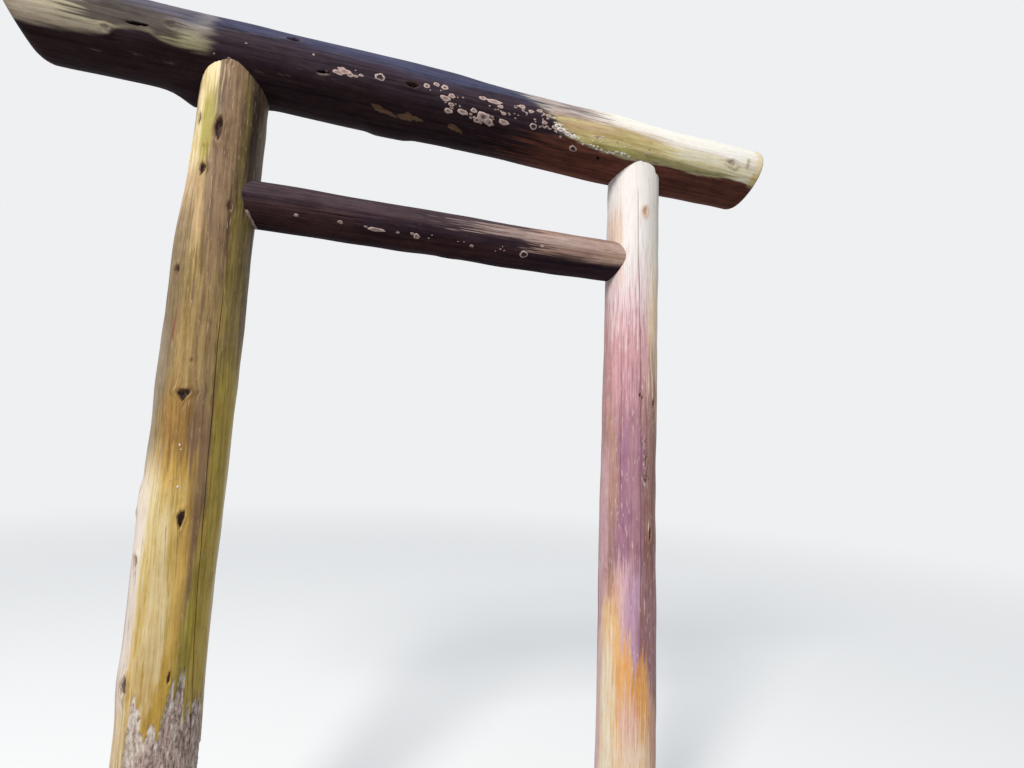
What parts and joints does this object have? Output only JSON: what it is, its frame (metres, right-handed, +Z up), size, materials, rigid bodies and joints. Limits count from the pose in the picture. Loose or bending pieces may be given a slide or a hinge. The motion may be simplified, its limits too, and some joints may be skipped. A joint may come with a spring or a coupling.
{
  "type": "torii gate",
  "caption": "Shrine gate of round peeled logs: fish-mouthed posts carry a top log with slanted ends, and a tie log is let into the posts and wedged.",
  "frame": {"origin": "on the flat foot of the left post, where the post's nominal axis meets the ground", "axes": "+X along the gate from the left post to the right post, +Y away from the side that people walk up to, +Z up"},
  "size_m": [2.5768, 0.2442, 2.7885],
  "materials": {
    "left_post_wood": "weathered peeled log, tan with green algae streaks",
    "right_post_wood": "weathered peeled log, pinkish grey with long grain lines",
    "kasagi_wood": "dark weathered log with lichen spots",
    "nuki_wood": "dark weathered log, greyer on top",
    "wedge_wood": "grey split softwood"
  },
  "bodies": {
    "root": {"left_post": "left_post_wood", "right_post": "right_post_wood", "kasagi": "kasagi_wood", "nuki": "nuki_wood", "nuki_wedge": "wedge_wood"}
  },
  "joints": []
}
